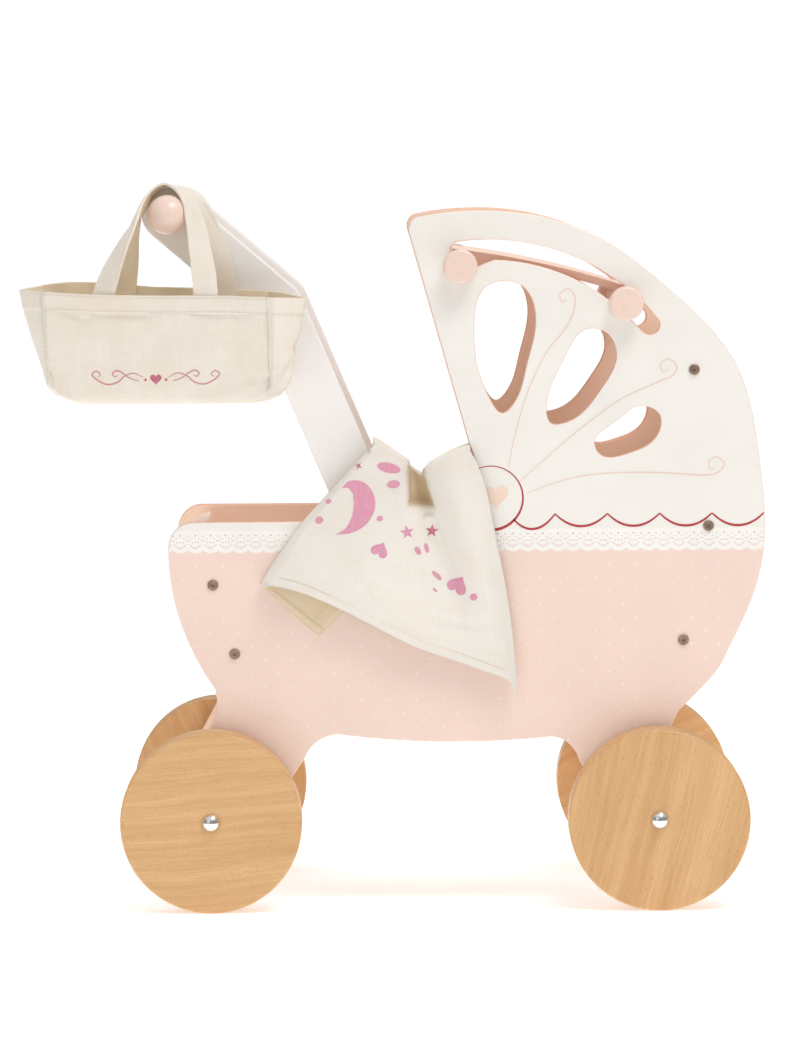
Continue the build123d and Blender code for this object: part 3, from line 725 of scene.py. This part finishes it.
def bag_ornament(find):
    """A plain symmetric scroll with a heart."""
    ink = woven("bag_ink", CANVAS, CANVAS_TAN, 0.9, 0.5, srgb(214, 140, 152))
    deep = woven("bag_deep_ink", CANVAS, CANVAS_TAN, 0.9, 0.5, srgb(196, 92, 122))
    scroll, middle = Print(find), Print(find)
    centre = (-187.0, 424.0)
    arm = [(10.0, 1.5), (17.0, 4.6), (24.0, 2.6), (30.0, -2.4), (38.0, -4.2), (46.0, -0.6),
           (50.0, 3.6), (46.8, 6.4), (43.6, 3.8), (45.4, 1.6)]
    upper = [(13.0, -1.6), (20.0, 0.6), (26.0, 4.8), (30.5, 6.8), (34.0, 4.6), (32.0, 1.9), (29.6, 3.2)]
    for side in (-1, 1):
        for line in (arm, upper):
            path = [(centre[0] + side * x, centre[1] + z, 0) for x, z in line]
            scroll.strip(spline(path, 50), swell(1.15, 0.5))
    middle.blob(turned(heart(), centre, 4.6, 0), centre)
    for side in (-1, 1):
        at = (centre[0] + side * 8.0, centre[1] - 0.6)
        middle.blob(turned(ellipse(), at, 1.1, 0), at)
    return [scroll.build("bag_print_scroll", ink), middle.build("bag_print_heart", deep)]


# ---------------------------------------------------------------- bag straps
STRAP_WIDTH = 19.0
STRAP_T = 1.7
FRONT_STRAP = [  # centre, outer side's direction, width
    ((-228.5, -145.2, 478.0), (-0.15, -0.98, 0.0), 18.0),
    ((-227.4, -145.6, 490.0), (-0.30, -0.94, 0.0), 18.0),
    ((-217.8, -140.0, 518.0), (-0.72, -0.66, 0.2), 18.0),
    ((-206.0, -127.0, 543.0), (-0.90, -0.34, 0.3), 17.0),
    ((-197.8, -115.0, 557.0), (-0.88, 0.25, 0.42), 16.0),
    ((-189.8, -108.0, 569.5), (-0.62, 0.34, 0.70), 15.0),
    ((-179.5, -105.5, 575.6), (-0.10, 0.20, 0.97), 14.0),
    ((-168.6, -109.0, 571.8), (0.46, -0.20, 0.86), 14.0),
    ((-160.4, -114.0, 561.5), (0.70, -0.55, 0.45), 16.0),
    ((-155.6, -120.5, 545.5), (0.55, -0.82, 0.12), 17.5),
    ((-151.8, -130.0, 524.0), (0.38, -0.92, 0.05), 18.5),
    ((-148.6, -141.0, 504.0), (0.15, -0.98, 0.0), 19.0),
    ((-147.5, -146.0, 489.0), (0.02, -1.0, 0.0), 19.0),
    ((-147.5, -145.4, 478.0), (0.0, -1.0, 0.0), 19.0)]
BACK_STRAP = [
    ((-213.0, -104.9, 478.0), (0.0, 1.0, 0.0), 18.8),
    ((-213.0, -104.8, 492.0), (0.0, 1.0, 0.0), 18.8),
    ((-210.4, -104.6, 512.0), (-0.45, 0.88, 0.0), 18.0),
    ((-205.6, -102.0, 538.0), (-0.88, 0.45, 0.1), 16.5),
    ((-197.6, -97.5, 563.2), (-0.87, 0.05, 0.49), 14.5),
    ((-189.0, -96.0, 571.3), (-0.50, 0.0, 0.87), 14.0),
    ((-177.4, -95.5, 574.4), (0.0, 0.0, 1.0), 14.0),
    ((-165.6, -97.5, 572.0), (0.36, -0.26, 0.88), 15.0),
    ((-154.6, -101.6, 564.0), (0.60, -0.60, 0.50), 16.0),
    ((-145.2, -103.2, 541.0), (0.40, -0.90, 0.20), 16.5),
    ((-137.6, -103.6, 518.0), (0.15, -0.99, 0.05), 17.5),
    ((-132.6, -104.6, 495.0), (0.0, -1.0, 0.0), 18.8),
    ((-131.8, -104.8, 478.0), (0.0, -1.0, 0.0), 18.8)]
AIR = 0.5
FORWARD_LIMIT = 3.0                        # a strap moves no further than this for the swing
SWING = (-12, -6, 6, 12, 0)                # degrees, with rest last


def clear_of_arm(p, margin):
    """Keeps a point clear of the arm at rest, and out of it as the bag swings where a small move
    forward is enough."""
    for degrees in SWING:
        turn = Matrix.Rotation(math.radians(degrees), 3, "Y")
        hinge = Vector((HANDLE_X, p.y, HANDLE_Z))
        swung = pushed_clear(hinge + turn @ (p - hinge), margin, degrees != 0)
        p = hinge + turn.transposed() @ (swung - hinge)
    return p


def pushed_clear(p, margin, forward_only):
    """Moves a point out of the handle arm: by the shorter way, or only forward."""
    outer = PANEL_Y + PANEL_T
    inner = outer + ARM_T
    top = Vector((HANDLE_X, HANDLE_Z))
    way = Vector(ARM_ELBOW) - top
    q = Vector((p.x, p.z))
    t = max(0.0, min(1.0, (q - top).dot(way) / way.length_squared))
    foot = top + way * t
    gap = (q - foot).length - ARM_R - margin
    front = (outer - margin) - p.y
    if gap >= 0 or front >= 0 or p.y > inner + margin:
        return p
    if forward_only and -front > FORWARD_LIMIT:
        return p
    if -gap < -front and not forward_only:
        out = (q - foot).normalized() * (ARM_R + margin)
        return Vector((foot.x + out.x, p.y, foot.y + out.y))
    return Vector((p.x, outer - margin, p.z))


def ribbon(name, stations, material, inside):
    """Flat webbing through the stations, with its two edges rolled a little."""
    rows = 130
    across_count = 15
    centres = spline([s[0] for s in stations], rows)
    normals = spline([s[1] for s in stations], rows)
    widths = spline([(s[2], 0, 0) for s in stations], rows)
    points, uvs, travelled = [], [], 0.0
    for k, centre in enumerate(centres):
        along = (centres[min(k + 1, rows - 1)] - centres[max(k - 1, 0)]).normalized()
        normal = (normals[k] - along * normals[k].dot(along)).normalized()
        across = along.cross(normal)
        if k:
            travelled += (centre - centres[k - 1]).length
        for c in range(across_count):
            t = c / (across_count - 1) * 2 - 1
            ripple = 0.35 * noise.noise(Vector((travelled * 0.05, t, centres[0].y)))
            lift = ripple - 0.35 * t * t
            p = centre + across * (t * widths[k].x / 2) + normal * lift
            p = clear_of_arm(p, STRAP_T / 2 + AIR)
            points.append(p)
            uvs.append((t * STRAP_WIDTH / 2, travelled))
    obj = new_object(name, points, grid_faces(rows, across_count), material, uvs)
    thicken(obj, STRAP_T, 0.0, inside)
    rounder = obj.modifiers.new("edges", "BEVEL")
    rounder.width = 0.35 * MM
    rounder.segments = 2
    rounder.limit_method = "ANGLE"
    rounder.angle_limit = math.radians(50)
    return apply_modifiers(obj)


def bag_straps():
    cloth = woven("strap_canvas", CANVAS, CANVAS_TAN, 0.8, 0.4)
    # The straps' inner side is drawn in painted shade, a darker tan standing in for the shade there.
    inside = woven("strap_canvas_inside_painted_shade", CANVAS_PAINTED_SHADE, CANVAS_TAN, 0.8, 0.4)
    for name, node, stations in (("strap_front", "bag_strap_front", FRONT_STRAP),
                                 ("strap_back", "bag_strap_back", BACK_STRAP)):
        strap = ribbon(name, stations, cloth, inside)
        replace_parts(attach(strap, "bag"), node)


# ---------------------------------------------------------------- blanket
CREST = [(-16.0, 369.0), (-11.0, 366.5), (1.0, 358.0), (13.0, 349.0), (19.6, 343.6),
         (22.0, 342.0), (24.4, 344.4), (30.0, 350.0), (45.0, 358.5), (60.0, 364.0)]
HEM_LINE = [(-107.0, 259.0), (-91.0, 257.0), (-70.0, 251.0), (-41.0, 238.0), (13.0, 210.0),
            (60.0, 192.5), (88.0, 182.0), (96.0, 169.5)]
FOLD_EDGE = [(-16.0, 369.0), (-34.0, 350.0), (-51.0, 332.0), (-72.0, 309.0), (-91.0, 284.0),
             (-107.0, 259.0)]
RIGHT_EDGE = [(60.0, 364.0), (66.0, 352.0), (73.0, 331.0), (79.0, 299.0), (86.0, 264.0),
              (92.0, 226.0), (95.0, 190.0), (96.0, 169.5)]
REAR_EDGE = [(6.0, 352.0), (8.0, 332.0), (7.0, 310.0), (-2.0, 284.0), (-24.0, 254.0),
             (-61.0, 217.0)]
BLANKET_T = 1.3
INNER_HEM_Z = 294.0                        # the cloth is about 0.26 m long on average
INNER_LEFT = -66.0                         # left end and width of the inner hem
INNER_WIDTH = 128.0
CLOTH_FRONT = (200.0, 190.0)               # cloth coordinates over the front fall
CLOTH_INNER = 130.0                        # and down the inner fall
BACK_Y = -84.6                             # the inner fall, inside the tub
FRONT_COLUMNS = 84
FRONT_ROWS = 72
REAR_COLUMNS = 14
INNER_ROWS = 40
PLEAT_PITCH = 12.6                         # of the inner fall, and its depth
PLEAT_DEPTH = 5.0


def pocket_right(z):
    """Right edge of the fold pocket under the notch in the crest."""
    return 21.0 + (352.0 - z) * 0.30


def blanket_out(x, z):
    """How far the blanket's outer side stands in front of the side panel."""
    left = 4.6 * smooth(30.0, -25.0, x)
    out = 4.2 + 0.8 * left
    out += 3.4 * bump(x + 0.55 * (z - 290), -22.0, 26.0) * smooth(215.0, 260.0, z)
    ridge_x = 46.0 + (340.0 - z) * 0.27
    out += 11.0 * smooth(212.0, 285.0, z) * smooth(372.0, 346.0, z) * bump(x, ridge_x, 16.0)
    valley_x = 17.0 + (336.0 - z) * 0.42
    out -= 6.5 * smooth(228.0, 285.0, z) * bump(x, valley_x, 7.5)
    out += 3.0 * bump(x, 7.0, 6.0) * smooth(306.0, 330.0, z)
    pocket = smooth(9.6, 12.0, x) * smooth(pocket_right(z) + 3.0, pocket_right(z) - 1.0, x)
    pocket *= smooth(317.0, 323.0, z)
    out -= 21.0 * pocket
    flare = smooth(268.0, 192.0, z + 0.40 * (x - 20))
    out += flare * (7.9 + 1.6 * math.sin(0.085 * x + 0.6))
    out += 2.2 * bump(segment_distance(x, z, (24, 236), (66, 229)), 0.0, 6.0)
    out -= 2.4 * bump(segment_distance(x, z, (30, 226), (78, 222)), 0.0, 6.0)
    out += 0.9 * noise.noise(Vector((x * 0.03, z * 0.03, 5.0)))
    out += 0.3 * noise.noise(Vector((x * 0.11, z * 0.11, 9.0)))
    if z < TUB_Z + 4.0 or x > 42.0:
        out = max(out, BLANKET_T + 0.7)
    return out


def front_point(u, v, sides):
    crest, hem, left, right = sides
    a, b = crest[round(u * (len(crest) - 1))], hem[round(u * (len(hem) - 1))]
    c, d = left[round(v * (len(left) - 1))], right[round(v * (len(right) - 1))]
    flat = (a * (1 - v) + b * v + c * (1 - u) + d * u - crest[0] * (1 - u) * (1 - v)
            - crest[-1] * u * (1 - v) - hem[0] * (1 - u) * v - hem[-1] * u * v)
    return flat.x, flat.y


def blanket_sheet():
    """One cloth: the rear layer from its hidden edge to the fold, the front fall, the crest
    and the inner fall."""
    def dense(line, count):
        return spline([(x, z, 0) for x, z in line], count)
    sides = (dense(CREST, FRONT_COLUMNS), dense(HEM_LINE, FRONT_COLUMNS),
             dense(FOLD_EDGE, FRONT_ROWS), dense(RIGHT_EDGE, FRONT_ROWS))
    rear = dense(REAR_EDGE, FRONT_ROWS)
    points, uvs = [], []
    columns = REAR_COLUMNS + FRONT_COLUMNS
    for r in range(FRONT_ROWS):
        v = 1 - r / (FRONT_ROWS - 1)
        row_index = FRONT_ROWS - 1 - r
        fold, edge = sides[2][row_index], rear[row_index]
        reach = (edge - fold).length
        for c in range(REAR_COLUMNS):
            t = 1 - c / REAR_COLUMNS
            p = edge * t + fold * (1 - t)
            near = smooth(0.18, 0.0, t)
            y = PANEL_Y - 1.6 - near * 1.7 - 0.5 * math.sin(4.0 * t) * v
            points.append((p.x, y, p.y))
            uvs.append((-t * reach, (1 - v) * CLOTH_FRONT[1]))
        for c in range(FRONT_COLUMNS):
            u = c / (FRONT_COLUMNS - 1)
            x, z = front_point(u, v, sides)
            out = blanket_out(x, z)
            out = 4.0 + (out - 4.0) * smooth(0.0, 0.07, u) if v > 0.05 else out
            points.append((x, PANEL_Y - out, z))
            uvs.append((u * CLOTH_FRONT[0], (1 - v) * CLOTH_FRONT[1]))
    top = points[-columns:]
    for r in range(1, INNER_ROWS):
        t = r / (INNER_ROWS - 1)
        for c in range(columns):
            x0, y0, z0 = top[c]
            roll = min(1.0, t / 0.3)
            angle = math.pi * roll
            half = (BACK_Y - y0) / 2
            y = y0 + half * (1 - math.cos(angle))
            z = z0 + min(abs(half), 5.0) * math.sin(angle)
            fall = smooth(0.26, 1.0, t) * 0.35 + max(0.0, (t - 0.3) / 0.7) * 0.65
            target_x = INNER_LEFT + INNER_WIDTH * (c / (columns - 1))
            x = x0 + (target_x - x0) * fall
            z = z - fall * (z0 - INNER_HEM_Z)
            y -= smooth(0.3, 0.55, t) * PLEAT_DEPTH * (math.sin(2 * math.pi * x / PLEAT_PITCH) - 1)
            points.append((x, y, z))
            uvs.append(((c / columns) * CLOTH_FRONT[0], CLOTH_FRONT[1] + t * CLOTH_INNER))
    rows = FRONT_ROWS + INNER_ROWS - 1
    obj = new_object("cotton_blanket", points, grid_faces(rows, columns),
                     woven("blanket_cotton", COTTON, COTTON_TAN, 0.7, 0.5), uvs)
    obj.data.materials.append(woven("blanket_cotton_painted_shade", COTTON_PAINTED_SHADE, CANVAS_TAN, 0.7, 0.5))
    # The rear layer and the fold pocket take painted shade, a darker tan standing in for the shade on
    # the cloth's back and in the recess.
    for face in obj.data.polygons:
        row, column = divmod(min(face.vertices), columns)
        middle = face.center / MM
        rear_layer = row < FRONT_ROWS - 1 and column < REAR_COLUMNS - 1
        in_pocket = (row < FRONT_ROWS and 10.5 < middle.x < pocket_right(middle.z) + 1.0
                     and 320.0 < middle.z)
        if rear_layer or in_pocket:
            face.material_index = 1
    thicken(obj, BLANKET_T, 0.0)
    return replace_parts(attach(obj, "root"), "blanket")


def blanket_prints(find):
    pink = woven("blanket_ink", COTTON, COTTON_TAN, 0.7, 0.5, srgb(231, 152, 182))
    deep = woven("blanket_deep_ink", COTTON, COTTON_TAN, 0.7, 0.5, srgb(206, 100, 124))
    light, dark = Print(find), Print(find)
    moon = [(-41.6, 335.6), (-35.6, 337.8), (-27.6, 333.8), (-23.8, 323.0), (-27.6, 311.4),
            (-35.8, 302.8), (-46.6, 298.4)]
    light.strip(spline([(x, z, 0) for x, z in moon], 50),
                lambda t: 0.5 + 16.5 * math.sin(math.pi * t) ** 1.45)
    light.blob(turned(ellipse(0.42), (-4.5, 351.0), 9.5, -14), (-4.5, 351.0))
    for at, size, ratio, turn in (((-52.5, 325.0), 2.4, 0.8, 30), ((-60.0, 310.0), 3.4, 0.85, 20),
                                  ((-12.0, 311.0), 2.6, 0.85, 20), ((-1.0, 338.0), 5.2, 0.6, 6),
                                  ((18.0, 285.0), 3.6, 0.6, -60), ((25.0, 287.0), 4.0, 0.45, -75),
                                  ((33.0, 265.0), 5.0, 0.36, -45), ((31.5, 253.5), 2.2, 0.4, -40),
                                  ((62.0, 248.0), 3.0, 0.95, 0)):
        light.blob(turned(ellipse(ratio), at, size, turn), at)
    light.blob(turned(heart(), (-12.0, 286.0), 7.0, 152), (-12.0, 286.0))
    light.blob(turned(heart(), (49.5, 257.0), 8.2, 150), (49.5, 257.0))
    light.blob(turned(star(), (9.6, 299.7), 5.8, 8), (9.6, 299.7))
    dark.blob(turned(star(), (29.4, 300.4), 5.4, -6), (29.4, 300.4))
    dark.blob(turned(star(), (-29.0, 353.0), 3.6, 24), (-29.0, 353.0))
    return [light.build("blanket_print_pink", pink), dark.build("blanket_print_deep", deep)]


def blanket_seams(find):
    """The turned hem shows as a fine line along the edges and as a mitre on the rear corner."""
    thread = woven("blanket_thread", srgb(228, 206, 168), CANVAS_TAN, 0.5, 0.6)
    lines = Print(find, 0.3)
    inset = 8.5
    hem = [(x - 0.2 * inset, z + 0.95 * inset) for x, z in HEM_LINE[1:-1]]
    for p in spline([(x, z, 0) for x, z in hem], 78)[1:-1]:
        lines.strip([(p.x - 1.0, p.y + 0.45), (p.x, p.y), (p.x + 1.0, p.y - 0.45)], 0.34)
    flap = [(-99.5, 256.0), (-86.0, 245.5), (-72.0, 234.0), (-57.0, 222.0)]
    lines.strip(spline([(x, z, 0) for x, z in flap], 40), 0.5)
    lines.strip(spline([(-65.5, 229.2, 0), (-58.5, 236.5, 0), (-54.0, 242.0, 0)], 14), 0.5)
    return lines.build("blanket_hem_lines", thread)


# ---------------------------------------------------------------- studio
CAMERA_AT = (-15.0, -4145.0, 602.0)
PITCH, YAW, ROLL = (math.radians(a) for a in (4.281, 0.197, -0.36))
FLOOR_REACH = 2400.0
FOCAL = 172.6                              # on a 36 mm wide sensor, along the long side


def camera():
    ahead = Vector((math.sin(YAW) * math.cos(PITCH), math.cos(YAW) * math.cos(PITCH), -math.sin(PITCH)))
    level = Vector((math.cos(YAW), -math.sin(YAW), 0.0))
    upright = level.cross(ahead)
    right = level * math.cos(ROLL) + upright * math.sin(ROLL)
    up = right.cross(ahead)
    data = bpy.data.cameras.new("photo_camera")
    data.lens = FOCAL
    data.sensor_width = 36.0
    data.clip_start, data.clip_end = 0.1, 60.0
    obj = bpy.data.objects.new("photo_camera", data)
    turn = Matrix((right, up, -ahead)).transposed().to_4x4()
    obj.matrix_world = Matrix.Translation(mm(*CAMERA_AT)) @ turn
    bpy.context.scene.collection.objects.link(obj)
    bpy.context.scene.camera = obj


def soft_light(name, at, target, size, power, colour=(1.0, 1.0, 1.0)):
    data = bpy.data.lights.new(name, "AREA")
    data.shape = "RECTANGLE"
    data.size, data.size_y = size
    data.energy = power
    data.color = colour
    obj = bpy.data.objects.new(name, data)
    place = Vector(at)
    obj.matrix_world = (Matrix.Translation(place)
                        @ (Vector(target) - place).to_track_quat("-Z", "Y").to_matrix().to_4x4())
    bpy.context.scene.collection.objects.link(obj)


def studio():
    """White floor, white surroundings and large soft lights from above and in front."""
    s = Shader("studio_floor")
    x, y, z = s.place()
    grain = s.noise(s.vector(x, y, z), 0.01, 3.0)
    white = s.mix(s.ramp(grain, 0.3, 0.7, 0.0, 1.0), srgb(252, 252, 252), srgb(249, 249, 249))
    s.set(Base_Color=white, Roughness=0.9, Specular_IOR_Level=0.1,
          Emission_Color=(0.92, 0.97, 1.0, 1.0), Emission_Strength=0.44)
    reach = FLOOR_REACH
    floor = new_object("studio_floor", [(-reach, -reach, 0), (reach, -reach, 0), (reach, reach, 0),
                                        (-reach, reach, 0)], [(0, 1, 2, 3)], s.material)
    world = bpy.data.worlds.new("studio_world")
    world.use_nodes = True
    tree = world.node_tree
    background = tree.nodes["Background"]
    seen = tree.nodes.new("ShaderNodeLightPath")
    coords = tree.nodes.new("ShaderNodeTexCoord")
    split = tree.nodes.new("ShaderNodeSeparateXYZ")
    ramp = tree.nodes.new("ShaderNodeValToRGB")
    mix = tree.nodes.new("ShaderNodeMixRGB")
    tree.links.new(coords.outputs["Generated"], split.inputs[0])
    tree.links.new(split.outputs["Z"], ramp.inputs["Fac"])
    ramp.color_ramp.elements[0].position = 0.0
    ramp.color_ramp.elements[0].color = (0.52, 0.47, 0.42, 1)
    ramp.color_ramp.elements[1].position = 0.85
    ramp.color_ramp.elements[1].color = (1.0, 1.0, 1.0, 1)
    middle = ramp.color_ramp.elements.new(0.35)
    middle.color = (0.34, 0.325, 0.305, 1)
    tree.links.new(seen.outputs["Is Camera Ray"], mix.inputs["Fac"])
    tree.links.new(ramp.outputs["Color"], mix.inputs["Color1"])
    mix.inputs["Color2"].default_value = (1.35, 1.35, 1.35, 1)
    tree.links.new(mix.outputs["Color"], background.inputs["Color"])
    background.inputs["Strength"].default_value = 0.77
    bpy.context.scene.world = world
    target = (0.0, 0.0, 0.28)
    soft_light("key_light", (0.75, -0.95, 2.4), target, (1.2, 0.8), 23.5, (1.0, 0.985, 0.965))
    soft_light("fill_light", (-1.6, -2.6, 1.3), target, (2.0, 2.0), 5.8, (0.98, 0.99, 1.0))
    soft_light("back_light", (-0.2, 1.6, 2.4), target, (2.2, 1.4), 16.0)
    view = bpy.context.scene.view_settings
    view.view_transform = "Standard"
    view.look = "None"


# ---------------------------------------------------------------- put it together
def main():
    studio()
    camera()
    dress_cad_parts()
    panel_prints()
    bag = bag_body()
    on_bag = surface_finder(bag)
    for piece in [bag_stitches(on_bag)] + bag_ornament(on_bag):
        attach(piece, "bag")
    bag_straps()
    blanket = blanket_sheet()
    on_blanket = surface_finder(blanket)
    trims = [blanket_seams(on_blanket)] + blanket_prints(on_blanket)
    for piece in trims:
        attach(piece, "root")


main()
